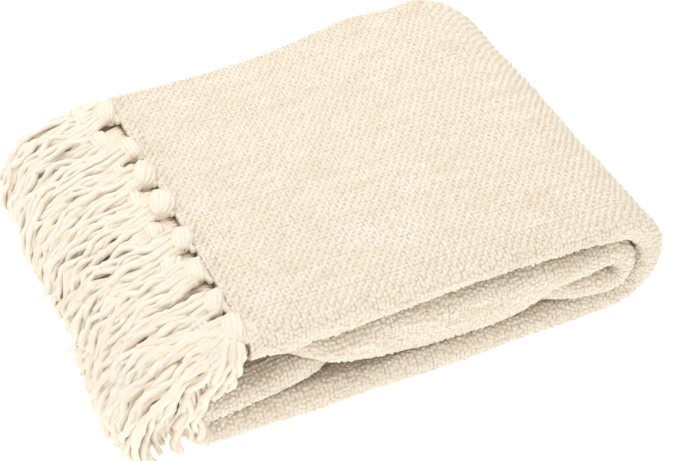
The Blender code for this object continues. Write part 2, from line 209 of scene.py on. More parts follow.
# Soft creases and swells in the cloth. Columns: x, y, z, reach along x, y and z, height
creases = [
    (0.268, 0.000, 0.054, 0.007, 0.030, 0.018, -0.0034),
    (0.252, 0.000, 0.058, 0.006, 0.030, 0.014, 0.0020),
    (0.236, 0.000, 0.056, 0.007, 0.030, 0.018, -0.0030),
    (0.205, 0.000, 0.050, 0.012, 0.030, 0.016, 0.0022),
    (0.170, 0.000, 0.052, 0.008, 0.030, 0.016, -0.0022),
    (0.300, 0.000, 0.064, 0.012, 0.030, 0.010, 0.0012),
    (0.330, 0.000, 0.086, 0.020, 0.024, 0.012, -0.0010),
    (0.180, 0.000, 0.088, 0.030, 0.020, 0.010, 0.0008),
    (0.100, 0.000, 0.086, 0.014, 0.020, 0.014, -0.0014),
    (0.090, 0.000, 0.018, 0.018, 0.020, 0.012, 0.0012),
    (0.150, 0.000, 0.012, 0.014, 0.020, 0.012, -0.0010),
    (0.240, 0.000, 0.012, 0.020, 0.020, 0.012, 0.0010),
    (0.140, 0.090, 0.099, 0.060, 0.020, 0.020, -0.0016),
    (0.250, 0.200, 0.099, 0.050, 0.030, 0.020, 0.0016),
    (0.300, 0.120, 0.099, 0.030, 0.060, 0.020, -0.0012),
    (0.180, 0.250, 0.099, 0.060, 0.018, 0.020, -0.0016),
    (0.330, 0.280, 0.099, 0.030, 0.030, 0.020, 0.0020),
    (0.395, 0.120, 0.060, 0.020, 0.016, 0.030, -0.0016),
    (0.398, 0.200, 0.050, 0.020, 0.020, 0.030, 0.0014),
    (0.395, 0.265, 0.060, 0.020, 0.014, 0.030, -0.0016),
]


def middlePoint(run, across):
    # world points of the sheet's middle surface, for arrays of run along the path and across it
    columns = [np.interp(run, pathRun, pathRows[:, column]) for column in range(8)]
    x, z, normalX, normalZ, front, plus, minus, drop = columns
    size = np.hypot(normalX, normalZ)
    y = np.interp(across, sectionRun, sectionPoints[:, 0])
    n = np.interp(across, sectionRun, sectionPoints[:, 1])
    swell = 1 - eased(fold["swellFull"], fold["swellEnd"], y)
    side = np.where(n > 0, plus, minus)
    reach = n + side * n / frontRadius * swell
    growth = fold["growthShare"] * (plus + minus) / fold["swellForGrowth"]
    growth = growth * (1 - eased(frontTangent, fold["growthGone"], y))
    placedY = y + growth * np.minimum(y, frontTangent) + front * (1 - y / fold["depth"]) ** 2
    pointX = x + normalX / size * reach
    pointZ = z + normalZ / size * reach - drop * swell
    backShare = eased(0.35, 1.0, y / fold["depth"])
    placedY = placedY + tableColumn(backEdge, x, 1) * backShare * (0.45 + 0.55 * z / levelZ[3])
    waves = np.sin(11 * pointX + 0.6) * np.cos(9 * y)
    pointZ = pointZ + fold["crown"] * waves * eased(0.2 * stackTop, stackTop, pointZ)
    return np.stack([pointX, placedY, pointZ], axis=-1)


def creaseHeight(points):
    height = np.zeros(points.shape[:-1])
    for x, y, z, reachX, reachY, reachZ, tall in creases:
        far = ((points[..., 0] - x) / reachX) ** 2 + ((points[..., 1] - y) / reachY) ** 2
        far = far + ((points[..., 2] - z) / reachZ) ** 2
        height += tall * np.exp(-far)
    return height


def sheetFrame(run, across):
    # point and unit normal of the middle surface
    step = 0.0006
    point = middlePoint(run, across)
    along = middlePoint(np.minimum(run + step, pathLength), across)
    along = along - middlePoint(np.maximum(run - step, 0), across)
    over = middlePoint(run, np.minimum(across + step, sectionLength))
    over = over - middlePoint(run, np.maximum(across - step, 0))
    normal = np.cross(along, over)
    normal /= np.maximum(np.linalg.norm(normal, axis=-1, keepdims=True), 1e-12)
    return point, normal


# The shift from these sizes to the frame's place, found once from the cloth's own solid
clothEnd = 0.0085  # the solid begins this far along the path
probeRun = np.linspace(clothEnd, pathLength - clothEnd, 500)
probeRun, probeAcross = np.meshgrid(probeRun, np.linspace(0, sectionLength, 500))
probePoint, probeNormal = sheetFrame(probeRun, probeAcross)
probeSkin = np.concatenate([probePoint + probeNormal * halfSheet, probePoint - probeNormal * halfSheet])
lowCloth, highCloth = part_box("blanket")
shift = np.array([lowCloth.x - probeSkin[..., 0].min(), lowCloth.y - probeSkin[..., 1].min(), 0.0])
print("shift to the frame", [round(float(value), 4) for value in shift])


# Marks for the weave: how far past the front fold its own crossings go
frontReach = 0.012
frontLow = frontFrom - frontReach
frontHigh = frontTo + frontReach
skinOut = 0.0018  # where the weave's face stands above the sheet's middle


def skinPoint(run, across):
    point, normal = sheetFrame(run, across)
    return point + normal * skinOut


def frontWidths(runs):
    # true width across the front folds, counted down from their upper end, for each run
    spots = np.linspace(frontLow, frontHigh, 90)
    run, across = np.meshgrid(runs, spots, indexing="ij")
    steps = np.linalg.norm(np.diff(skinPoint(run, across), axis=1), axis=2)
    width = np.cumsum(steps[:, ::-1], axis=1)[:, ::-1]
    return spots, np.concatenate([width, np.zeros((len(runs), 1))], axis=1)


def clothWidth(runs, spots):
    # the weave's own place across the cloth at each spot, for each run
    marks, width = frontWidths(runs)
    rows = []
    for line in width:
        inside = frontHigh - np.interp(spots, marks, line)
        below = frontHigh - line[0] + (spots - frontLow)
        rows.append(np.where(spots >= frontHigh, spots, np.where(spots < frontLow, below, inside)))
    return np.array(rows)


def addMesh(name, points, faces, material, uv=None, rise=None):
    # one smooth mesh, with an optional place on the cloth and a rise above its hollows that sets its
    # painted shade
    mesh = bpy.data.meshes.new(name)
    mesh.from_pydata(points.tolist(), [], faces)
    mesh.polygons.foreach_set("use_smooth", np.ones(len(mesh.polygons), bool))
    corners = np.zeros(len(mesh.loops), int)
    mesh.loops.foreach_get("vertex_index", corners)
    if uv is not None:
        layer = mesh.uv_layers.new(name="clothPlace")
        layer.data.foreach_set("uv", uv[corners].astype(np.float32).ravel())
    if rise is not None:
        attribute = mesh.attributes.new("rise", "FLOAT", "POINT")
        attribute.data.foreach_set("value", rise.astype(np.float32))
    mesh.materials.append(material)
    item = bpy.data.objects.new(name, mesh)
    bpy.context.scene.collection.objects.link(item)
    return item


def gridQuads(index, turned):
    # quads between a grid of vertex numbers and the same grid turned by one
    return np.stack([index[:-1], index[1:], turned[1:], turned[:-1]], axis=-1).reshape(-1, 4)


# Shader groups. They put out colours, masks, values and normals only.
def newGroup(name, inputs, outputs):
    group = bpy.data.node_groups.new(name, "ShaderNodeTree")
    for label, value in inputs.items():
        socket = group.interface.new_socket(name=label, in_out="INPUT", socket_type="NodeSocketFloat")
        socket.default_value = value
    for label in outputs:
        group.interface.new_socket(name=label, in_out="OUTPUT", socket_type="NodeSocketFloat")
    start = group.nodes.new("NodeGroupInput")
    end = group.nodes.new("NodeGroupOutput")
    return group, start, end


def feed(tree, socket, value):
    # a plain number or colour goes on the socket, anything else is linked to it
    if isinstance(value, (int, float, tuple)):
        socket.default_value = value
    else:
        tree.links.new(value, socket)


def mathNode(tree, kind, *values):
    node = tree.nodes.new("ShaderNodeMath")
    node.operation = kind
    for socket, value in zip(node.inputs, values):
        feed(tree, socket, value)
    return node.outputs[0]


def noiseNode(tree, vector, scale, detail=2.0, roughness=0.5):
    node = tree.nodes.new("ShaderNodeTexNoise")
    node.inputs["Detail"].default_value = detail
    node.inputs["Roughness"].default_value = roughness
    tree.links.new(vector, node.inputs["Vector"])
    feed(tree, node.inputs["Scale"], scale)
    return node.outputs[0]


def rangeNode(tree, value, low, high):
    # 0 at low and 1 at high
    node = tree.nodes.new("ShaderNodeMapRange")
    node.inputs["From Min"].default_value = low
    node.inputs["From Max"].default_value = high
    tree.links.new(value, node.inputs["Value"])
    return node.outputs[0]


def mixColour(tree, factor, first, second):
    node = tree.nodes.new("ShaderNodeMix")
    node.data_type = "RGBA"
    for index, value in ((0, factor), (6, first), (7, second)):
        feed(tree, node.inputs[index], value)
    return node.outputs[2]


def makeFuzz():
    # short pile: fine lumps for the bump, and a soft mottling
    group, start, end = newGroup("chenilleFuzz", {"Scale": 900.0}, ("Height", "Mottle", "Grain"))
    place = group.nodes.new("ShaderNodeTexCoord").outputs["Object"]
    fine = noiseNode(group, place, start.outputs["Scale"], 3.0, 0.65)
    coarse = noiseNode(group, place, 160.0, 2.0, 0.5)
    grain = noiseNode(group, place, 620.0, 2.0, 0.6)
    group.links.new(fine, end.inputs["Height"])
    group.links.new(rangeNode(group, coarse, 0.3, 0.7), end.inputs["Mottle"])
    group.links.new(rangeNode(group, grain, 0.52, 0.34), end.inputs["Grain"])
    return group


def clothPlace(tree):
    # the cloth's own place: along its length, and across it
    place = tree.nodes.new("ShaderNodeUVMap")
    place.uv_map = "clothPlace"
    split = tree.nodes.new("ShaderNodeSeparateXYZ")
    tree.links.new(place.outputs[0], split.inputs[0])
    return split.outputs[0], split.outputs[1]


def makeStreaks():
    # yarns that run the cloth's length differ a little in colour and thickness along their run
    inputs = {"Yarn Pitch": 0.004, "Run": 0.07}
    group, start, end = newGroup("slubStreaks", inputs, ("Streak", "Slub"))
    length, width = clothPlace(group)
    along = mathNode(group, "DIVIDE", length, start.outputs["Run"])
    across = mathNode(group, "DIVIDE", width, start.outputs["Yarn Pitch"])
    row = mathNode(group, "FLOOR", across)
    join = group.nodes.new("ShaderNodeCombineXYZ")
    group.links.new(along, join.inputs[0])
    group.links.new(mathNode(group, "MULTIPLY", row, 0.37), join.inputs[1])
    yarn = noiseNode(group, join.outputs[0], 1.0, 2.0, 0.6)
    wide = group.nodes.new("ShaderNodeCombineXYZ")
    group.links.new(mathNode(group, "MULTIPLY", along, 0.7), wide.inputs[0])
    group.links.new(mathNode(group, "MULTIPLY", across, 0.10), wide.inputs[1])
    wide.inputs[2].default_value = 4.0
    band = noiseNode(group, wide.outputs[0], 1.0, 2.0, 0.5)
    group.links.new(rangeNode(group, yarn, 0.35, 0.68), end.inputs["Slub"])
    group.links.new(rangeNode(group, band, 0.40, 0.66), end.inputs["Streak"])
    return group


def makeWeave():
    # plain weave as a height: floats of warp and weft take turns, with hollows where they dive
    inputs = {"Weft Pitch": 0.0033, "Warp Pitch": 0.0040}
    group, start, end = newGroup("plainWeave", inputs, ("Height", "HollowShade"))
    waves = []
    for way, pitch in zip(clothPlace(group), ("Weft Pitch", "Warp Pitch")):
        count = mathNode(group, "DIVIDE", way, start.outputs[pitch])
        waves.append(mathNode(group, "SINE", mathNode(group, "MULTIPLY", count, math.pi)))
    product = mathNode(group, "ABSOLUTE", mathNode(group, "MULTIPLY", waves[0], waves[1]))
    height = mathNode(group, "POWER", product, 0.5)
    group.links.new(height, end.inputs["Height"])
    # painted shade: this mask is 1 where the weave lies low, to darken those hollows
    group.links.new(rangeNode(group, height, 0.75, 0.2), end.inputs["HollowShade"])
    return group


fuzzGroup = makeFuzz()
streakGroup = makeStreaks()
weaveGroup = makeWeave()


def placeGroup(tree, group, values):
    node = tree.nodes.new("ShaderNodeGroup")
    node.node_tree = group
    for label, value in values.items():
        node.inputs[label].default_value = value
    return node


def newMaterial(name):
    material = bpy.data.materials.new(name)
    material.use_nodes = True
    return material, material.node_tree, material.node_tree.nodes["Principled BSDF"]


def bumpNode(tree, height, distance, under=None):
    node = tree.nodes.new("ShaderNodeBump")
    node.inputs["Distance"].default_value = distance
    tree.links.new(height, node.inputs["Height"])
    if under is not None:
        tree.links.new(under, node.inputs["Normal"])
    return node.outputs["Normal"]


def risenShade(tree, shallow, deep):
    # painted shade mask: how deep a point lies between floats or yarns, from the mesh's own rise
    risen = tree.nodes.new("ShaderNodeAttribute")
    risen.attribute_name = "rise"
    return rangeNode(tree, risen.outputs["Fac"], shallow, deep)


# The finish that the cloth and the yarn share
softFinish = {
    "Roughness": 0.95,
    "Sheen Weight": 0.25,
    "Sheen Roughness": 0.6,
    "Specular IOR Level": 0.15,
}


def finishPile(tree, shader, look, fuzz, colour, hollowShade, under=None):
    # painted shade in the hollows and grain flecks in the same tan, then the pile's bump over any bump
    # under it
    for mask, share in ((hollowShade, look["hollowShadeShare"]), (fuzz.outputs["Grain"], look["grain"])):
        colour = mixColour(tree, mathNode(tree, "MULTIPLY", mask, share), colour, look["hollowShade"])
    tree.links.new(colour, shader.inputs["Base Color"])
    for label, value in softFinish.items():
        shader.inputs[label].default_value = value
    normal = bumpNode(tree, fuzz.outputs["Height"], look["fuzzBump"], under)
    tree.links.new(normal, shader.inputs["Normal"])


chenilleLook = {
    "light": (0.91, 0.85, 0.745, 1.0),
    "deep": (0.86, 0.785, 0.655, 1.0),
    "pale": (0.945, 0.90, 0.82, 1.0),
    # painted shade: the warm tan painted into the hollows between floats; the grain flecks use it too
    "hollowShade": (0.84, 0.63, 0.38, 1.0),
    "hollowShadeShare": 0.65,
    "mottle": 0.25,
    "grain": 0.30,
    "fuzzScale": 1000.0,
    "fuzzBump": 0.0011,
    "weaveBump": 0.0011,
}


def makeChenille(name, woven):
    # woven is True on the plain sheet, whose weave is a bump, and False on the raised floats
    look = chenilleLook
    pitches = {"Weft Pitch": weave["weftPitch"], "Warp Pitch": weave["warpPitch"]}
    material, tree, shader = newMaterial(name)
    fuzz = placeGroup(tree, fuzzGroup, {"Scale": look["fuzzScale"]})
    streak = placeGroup(tree, streakGroup, {"Yarn Pitch": weave["warpPitch"], "Run": weave["slubRun"]})
    mottle = mathNode(tree, "MULTIPLY", fuzz.outputs["Mottle"], look["mottle"])
    colour = mixColour(tree, streak.outputs["Streak"], look["deep"], look["light"])
    colour = mixColour(tree, streak.outputs["Slub"], colour, look["pale"])
    colour = mixColour(tree, mottle, colour, look["deep"])
    if woven:
        crossings = placeGroup(tree, weaveGroup, pitches)
        under = bumpNode(tree, crossings.outputs["Height"], look["weaveBump"])
        # painted shade: the sheet's weave hollows are painted darker
        finishPile(tree, shader, look, fuzz, colour, crossings.outputs["HollowShade"], under)
    else:
        # painted shade: each float is painted darker towards its low edges
        finishPile(tree, shader, look, fuzz, colour, risenShade(tree, 0.75, 0.0))
    return material


yarnLook = {
    "light": (0.985, 0.93, 0.835, 1.0),
    "deep": (0.975, 0.89, 0.765, 1.0),
    # painted shade: the warm tan of yarns that lie low in the pile or near the knots; the grain flecks
    # use it too
    "hollowShade": (0.975, 0.79, 0.56, 1.0),
    "hollowShadeShare": 0.9,
    "grain": 0.22,
    "fuzzScale": 1100.0,
    "fuzzBump": 0.0011,
}


def makeYarn(name):
    look = yarnLook
    material, tree, shader = newMaterial(name)
    fuzz = placeGroup(tree, fuzzGroup, {"Scale": look["fuzzScale"]})
    colour = mixColour(tree, fuzz.outputs["Mottle"], look["light"], look["deep"])
    # painted shade from the rise
    finishPile(tree, shader, look, fuzz, colour, risenShade(tree, 0.95, 0.05))
    return material


# The sheet itself: one closed mesh on the fold, thinner on the side where the floats stand
sheet = {
    "runStep": 0.0055,
    "flatStep": 0.016,
    "foldStep": 0.0026,
    "outerHalf": 0.0013,
    "innerHalf": 0.0022,
    "selvage": 0.55,  # how thick the selvages are, as a share
}


def sectionSpots():
    # places across the section, closer in the folds than on the flats
    spots = []
    start = 0.0
    for index, end in enumerate(sectionEnds):
        # the even pieces are flats, and of the folds the front one is the widest
        foldStep = sheet["foldStep"] * (1.0 if index == 1 else 0.75)
        step = foldStep if index % 2 else sheet["flatStep"]
        count = max(4, int(round((end - start) / step)))
        spots.append(np.linspace(start, end, count + 1)[:-1])
        start = end
    spots = np.concatenate(spots + [[sectionLength]])
    near = np.array([0.006, 0.012, 0.02])
    extra = np.concatenate([frontFrom - near, frontTo + near, outerTo - near, backTo + near])
    return np.unique(np.round(np.concatenate([spots, extra]), 6))


def closedSkin(upper, lower, runs, width):
    # one closed loop round the section: upper side out, lower side back, and a cap at each end
    rows, columns = upper.shape[:2]
    count = 2 * columns
    ring = np.concatenate([upper, lower[:, ::-1]], axis=1)
    place = np.concatenate([width, width[:, ::-1]], axis=1)
    uv = np.stack([np.repeat(runs[:, None], count, axis=1), place], axis=-1).reshape(-1, 2)
    index = np.arange(rows * count).reshape(rows, count)
    faces = gridQuads(index, np.roll(index, -1, axis=1)).tolist()
    for line, flip in ((index[0], 1), (index[-1], -1)):
        for k in range(columns - 1):
            faces.append([line[k], line[k + 1], line[count - 2 - k], line[count - 1 - k]][::flip])
    return ring.reshape(-1, 3) + shift, faces, uv


def makeSheet(material):
    # from just inside the first heading to just inside the second
    first = fold["heading"]
    last = pathLength - fold["heading"]
    runs = np.linspace(first, last, int((last - first) / sheet["runStep"]))
    spots = sectionSpots()
    run, across = np.meshgrid(runs, spots, indexing="ij")
    point, normal = sheetFrame(run, across)
    edge = np.ones_like(run)[..., None]
    edge[:, [0, -1]] = sheet["selvage"]
    crease = creaseHeight(point)[..., None]
    upper = point + normal * (sheet["outerHalf"] * edge + crease)
    lower = point - normal * (sheet["innerHalf"] * edge - crease)
    points, faces, uv = closedSkin(upper, lower, runs, clothWidth(runs, spots))
    points[:, 2] = np.maximum(points[:, 2], 0.0)
    return addMesh("blanket", points, faces, material, uv)


# The plump warp floats that stand out of the plain weave at every other crossing
weave = {
    "weftPitch": 0.0033,  # crossings along the cloth's length
    "warpPitch": 0.0040,  # crossings across its width
    "halfLong": 0.0034,
    "halfWide": 0.0021,
    "lean": 0.91,  # how far each float leans from the warp, in radians
    "leanSpread": 0.20,
    "height": 0.00125,
    "sink": 0.0003,
    "jitter": 0.0005,
    "slubRun": 0.034,
    "slubDepth": 0.24,
    "unevenness": 0.15,
    "lumps": 0.20,
    "frontLong": 0.66,  # the front folds show every crossing, as rounder and less even bumps
    "frontWide": 1.06,
    "frontUneven": 1.6,
    "frontRows": 40,  # more rows than the deepest front takes
    "stagger": (0.008, 0.016),  # how far down the front its odd columns begin and end to drop
    "flank": 0.004,  # how far below the fold's upper tangent the top's own weave goes on
    "bendShare": 0.88,  # how much of the outer bend shows its weave
    "reachBack": 0.006,
    "seed": 7,
}


def slubNoise(cells):
    # how plump each crossing is: every warp yarn swells and thins along its own run
    rng = np.random.default_rng(weave["seed"])
    span = weave["slubRun"] / weave["weftPitch"]
    knots = rng.standard_normal((400, 64))
    place = cells[:, 0] / span + (cells[:, 1] % 17) * 0.37
    first = np.floor(place).astype(int)
    part = place - first
    part = part * part * (3 - 2 * part)
    yarn = cells[:, 1] % 400
    return knots[yarn, first % 64] * (1 - part) + knots[yarn, (first + 1) % 64] * part


def floatDome(detail):
    # a rounded oval dome on a square grid, as along and wide shares with their rise
    grid = np.linspace(-1, 1, detail + 1)
    u, v = np.meshgrid(grid, grid, indexing="ij")
    along = u * np.sqrt(1 - v * v / 2)
    wide = v * np.sqrt(1 - u * u / 2)
    rise = np.clip(1 - along * along - wide * wide, 0, 1) ** 0.62
    return along.ravel(), wide.ravel(), rise.ravel()


def floatPatch(name, spots, material, detail, front=False):
    # one dome on each spot, whose columns are weft and warp number, run, across, and the two true
    # sizes of a unit step there. front gives the bumps of the front folds.
    longShare, wideShare, uneven = 1, 1, 1
    if front:
        longShare, wideShare, uneven = weave["frontLong"], weave["frontWide"], weave["frontUneven"]
    rng = np.random.default_rng(weave["seed"] + len(name))
    count = len(spots)
    cells = spots[:, :2].round().astype(int)
    slub = 1 + weave["slubDepth"] * slubNoise(cells)
    plump = slub * (1 + weave["unevenness"] * uneven * rng.standard_normal(count))
    plump = np.clip(plump, 0.55, 1.5)
    along, wide, rise = floatDome(detail)
    turn = weave["lean"] + weave["leanSpread"] * uneven * rng.standard_normal(count)
    spanLong = weave["halfLong"] * longShare * np.clip(0.9 + 0.1 * plump, 0.85, 1.05)
    spanLong = spanLong * rng.uniform(0.93, 1.07, count)
    spanWide = weave["halfWide"] * wideShare * np.clip(0.6 + 0.4 * plump, 0.8, 1.14)
    longWay = along[None, :] * spanLong[:, None]
    wideWay = wide[None, :] * spanWide[:, None]
    shiftRun = longWay * np.cos(turn)[:, None] - wideWay * np.sin(turn)[:, None]
    shiftAcross = longWay * np.sin(turn)[:, None] + wideWay * np.cos(turn)[:, None]
    offset = rng.uniform(-1, 1, (2, count)) * weave["jitter"] * uneven
    run = (spots[:, 2] + offset[0])[:, None] + shiftRun / spots[:, 4:5]
    across = (spots[:, 3] + offset[1])[:, None] + shiftAcross / spots[:, 5:6]
    run = np.clip(run, 0.0, pathLength)
    across = np.clip(across, 0.0, sectionLength)
    point, normal = sheetFrame(run, across)
    lumps = 1 + weave["lumps"] * rng.standard_normal((count, len(rise)))
    lift = sheet["outerHalf"] - weave["sink"] + weave["height"] * rise[None, :] * plump[:, None] * lumps
    lift = lift + creaseHeight(point)
    points = (point + normal * lift[..., None]).reshape(-1, 3) + shift
    points[:, 2] = np.maximum(points[:, 2], 0.0)
    side = detail + 1
    cell = np.arange(side * side).reshape(side, side)
    quads = gridQuads(cell[:, :-1], cell[:, 1:])
    faces = quads[None] + (np.arange(count) * side * side)[:, None, None]
    place = (cells + 0.5) * [weave["weftPitch"], weave["warpPitch"]]
    uv = np.repeat(place[:, None, :], side * side, axis=1).reshape(-1, 2)
    # the dome's rise, which also sets its painted shade
    rises = np.repeat(rise[None, :], count, axis=0).ravel()
    print(name, "floats", count, "triangles", count * detail * detail * 2)
    return addMesh(name, points, faces.reshape(-1, 4).tolist(), material, uv, rises)


def onTop(column, row):
    return (column + row) % 2 == 0


def flatSpots(columns, rows, bendFrom=None, bendStretch=1.0):
    # crossings of an even face; past bendFrom the outer skin is longer than the sheet's middle
    column, row = np.meshgrid(columns, rows, indexing="ij")
    column, row = column.ravel(), row.ravel()
    keep = onTop(column, row)
    column, row = column[keep], row[keep]
    run = (column + 0.5) * weave["weftPitch"]
    stretch = np.ones(len(run))
    if bendFrom is not None:
        run = bendFrom + (run - bendFrom) / bendStretch
        stretch = stretch * bendStretch
    across = (row + 0.5) * weave["warpPitch"]
    return np.stack([column, row, run, across, stretch, np.ones(len(run))], axis=-1)


def frontSpots(columns, topRow):
    # crossings of the front folds, spaced by true width from the top face's first row down
    runs = (columns + 0.5) * weave["weftPitch"]
    marks, width = frontWidths(runs)
    step = 0.001
    spots = []
    rows = topRow - 1 - np.arange(weave["frontRows"])
    down = (topRow - rows - 0.5) * weave["warpPitch"]
    for column, run, line in zip(columns, runs, width):
        # below the flank every other column stands half a row lower
        lowered = down + (column % 2) * 0.5 * weave["warpPitch"] * eased(*weave["stagger"], down)
        keep = lowered < line[0]
        across = np.interp(lowered[keep], line[::-1], marks[::-1])
        near = np.interp(lowered[keep] + step, line[::-1], marks[::-1])
        stretch = step / np.maximum(across - near, 0.2 * step)
        one = np.ones(len(across))
        spots.append(np.stack([one * column, rows[keep], one * run, across, one, stretch], axis=-1))
    return np.concatenate(spots)


def makeFloats(material):
    # the faces that show: the top, the outer bend, the front folds and the back folds
    pitch, rowPitch = weave["weftPitch"], weave["warpPitch"]
    topEnd = rightTangent - (fold["topEndX"] - fold["heading"])
    bendStretch = (outerBend + frontRadius + skinOut) / outerBend
    startColumn = round(fold["heading"] / pitch)
    topColumn = round(topEnd / pitch)
    bendColumn = topColumn + round(math.pi * outerBend * bendStretch * weave["bendShare"] / pitch)
    endColumn = round((pathLength - fold["heading"]) / pitch)
    partColumn = (startColumn + endColumn) // 2  # on the floor level, where the front is parted
    topRow = round(frontHigh / rowPitch)
    backRow = round((outerTo - weave["reachBack"]) / rowPitch)
    lastRow = round((backTo + weave["reachBack"]) / rowPitch)
    faceRows = np.arange(topRow, backRow)
    top = flatSpots(np.arange(startColumn, topColumn), faceRows)
    bend = flatSpots(np.arange(topColumn, bendColumn), faceRows, topColumn * pitch, bendStretch)
    frontOuter = frontSpots(np.arange(startColumn, partColumn), topRow)
    frontInner = frontSpots(np.arange(partColumn, endColumn), topRow)
    # what lies above the fold's upper tangent is woven like the top
    flank = frontOuter[:, 3] > frontTo - weave["flank"]
    upper = frontOuter[flank]
    top = np.concatenate([top, upper[onTop(upper[:, 0], upper[:, 1])]])
    frontOuter = frontOuter[~flank]
    back = flatSpots(np.arange(startColumn, endColumn), np.arange(backRow, lastRow))
    edgeColumns = np.arange(0, startColumn)
    edge = flatSpots(edgeColumns, np.arange(topRow, lastRow))
    edge = np.concatenate([edge, frontSpots(edgeColumns, topRow)])
    return [
        floatPatch("weaveTop", top, material, 5),
        floatPatch("weaveBend", bend, material, 4),
        floatPatch("weaveFrontOuter", frontOuter, material, 4, True),
        floatPatch("weaveFrontInner", frontInner, material, 4, True),
        floatPatch("weaveBack", back, material, 3),
    ], floatPatch("weaveHeadingTop", edge, material, 5)


def lengths(vectors):
    return np.linalg.norm(vectors, axis=2)


def yarnTubes(rng, paths, radii, sides, rise):
    # tubes with a slight twist in their outline. paths is (count, steps, 3), radii and rise are
    # (count, steps); returns points, faces and rise
    # rise here is the tone of painted shade, low on yarns that lie deep or near a knot
    count, steps, _ = paths.shape
    tangent = np.gradient(paths, axis=1)
    tangent /= np.maximum(lengths(tangent), 1e-12)[..., None]
    side = np.cross(tangent, np.array([0.05, 1.0, 0.12]))
    side /= np.maximum(lengths(side), 1e-12)[..., None]
    up = np.cross(side, tangent)
    turn = np.arange(sides) / sides * 2 * math.pi
    run = np.cumsum(lengths(np.diff(paths, axis=1)), axis=1)
    run = np.concatenate([np.zeros((count, 1)), run], axis=1)
    twist = (run * tassel["twist"] + np.arange(count)[:, None] * 1.7)[..., None]
    lobes = 1 + tassel["lobeDepth"] * np.cos(2 * turn[None, None, :] + twist)
    lobes = lobes + tassel["lumps"] * rng.standard_normal((count, steps, sides))
    radius = radii[..., None] * lobes
    ring = side[:, :, None, :] * (np.cos(turn)[None, None, :, None] * radius[..., None])
    ring = ring + up[:, :, None, :] * (np.sin(turn)[None, None, :, None] * radius[..., None])
    body = (paths[:, :, None, :] + ring).reshape(count, steps * sides, 3)
    ends = [0, -1]
    tipOut = radii[:, ends, None] * np.array([-0.35, 0.35])[None, :, None]
    tips = paths[:, ends, :] + tangent[:, ends, :] * tipOut
    index = np.arange(steps * sides).reshape(steps, sides)
    turned = np.roll(index, -1, axis=1)
    quads = np.stack([index[:-1], turned[:-1], turned[1:], index[1:]], axis=-1).reshape(-1, 4)
    caps = [[steps * sides, turned[0, k], index[0, k]] for k in range(sides)]
    caps = np.array(caps + [[steps * sides + 1, index[-1, k], turned[-1, k]] for k in range(sides)])
    faces = []
    for strand in range(count):
        base = strand * (steps * sides + 2)
        faces += (quads + base).tolist() + (caps + base).tolist()
    shadeTone = np.repeat(rise, sides, axis=1).reshape(count, -1)
    shadeTone = np.concatenate([shadeTone, rise[:, ends]], axis=1)
    return np.concatenate([body, tips], axis=1).reshape(-1, 3), faces, shadeTone.ravel()


def addParts(name, parts, material):
    # joins (points, faces, rise) parts to one mesh; rise sets the painted shade
    faces = []
    base = 0
    for partPoints, partFaces, _ in parts:
        faces += [[corner + base for corner in face] for face in partFaces]
        base += len(partPoints)
    points = np.concatenate([part[0] for part in parts]) + shift
    rise = np.concatenate([part[2] for part in parts])
    print(name, "faces", len(faces), "triangles", sum(len(face) - 2 for face in faces))
    return addMesh(name, points, faces, material, rise=rise)


knot = {
    "halfLong": 0.0134,
    "halfWide": 0.0092,
    "halfTall": 0.0084,
    "ribs": 11,
    "ribDepth": 0.19,
    "detail": (48, 13),  # points around and along
    "hiddenDetail": (20, 7),
    "hiddenScale": 0.80,
    "lift": 0.0030,  # how far the uppermost knots stand up
    "fuzz": 0.00022,
}


def knotPart(centre, tilt, scale, seed, detail):
    # a wrapped knot like a small melon, its ribs running from end to end along y
    rng = np.random.default_rng(seed)
    aroundCount, alongCount = detail
    twist = rng.uniform(-0.5, 0.5)
    blunt = rng.uniform(0.55, 0.85, 2)
    turn = np.arange(aroundCount) / aroundCount * 2 * math.pi
    latitude = np.linspace(-0.5, 0.5, alongCount) * math.pi * 0.96
    around, along = np.meshgrid(turn, latitude, indexing="ij")
    rib = np.abs(np.sin(around * knot["ribs"] / 2 + twist * along)) ** 0.7
    girth = np.cos(along) ** np.where(along < 0, blunt[0], blunt[1])
    swell = 1 - knot["ribDepth"] * (1 - rib)
    lump = 1 + 0.07 * np.sin(3 * around + seed) + 0.05 * np.sin(2 * along + seed)
    x = np.cos(around) * knot["halfWide"] * scale * girth * swell * lump
    z = np.sin(around) * knot["halfTall"] * scale * girth * swell * lump
    y = np.sin(along) * knot["halfLong"] * scale
    x = x + rng.normal(0, knot["fuzz"], x.shape) + 0.0016 * np.sin(along * 1.3 + seed)
    z = z + rng.normal(0, knot["fuzz"], z.shape)
    turnedX = x * math.cos(tilt) - y * math.sin(tilt)
    turnedY = x * math.sin(tilt) + y * math.cos(tilt)
    points = np.stack([turnedX, turnedY, z], axis=-1) + np.array(centre)
    index = np.arange(aroundCount * alongCount).reshape(aroundCount, alongCount)
    turned = np.roll(index, -1, axis=0)
    quads = np.stack([index[:, :-1], index[:, 1:], turned[:, 1:], turned[:, :-1]], axis=-1)
    quads = quads.reshape(-1, 4)
    low = aroundCount * alongCount
    caps = [[low, int(index[k, 0]), int(turned[k, 0])] for k in range(aroundCount)]
    caps += [[low + 1, int(turned[k, -1]), int(index[k, -1])] for k in range(aroundCount)]
    ends = points[:, [0, -1]].mean(axis=0)
    # painted shade: darker in the grooves between the ribs and towards the knot's ends
    rise = 0.45 + 0.55 * rib * np.cos(along) ** 0.4
    rise = np.concatenate([rise.ravel(), [0.3, 0.3]])
    return np.concatenate([points.reshape(-1, 3), ends]), quads.tolist() + caps, rise


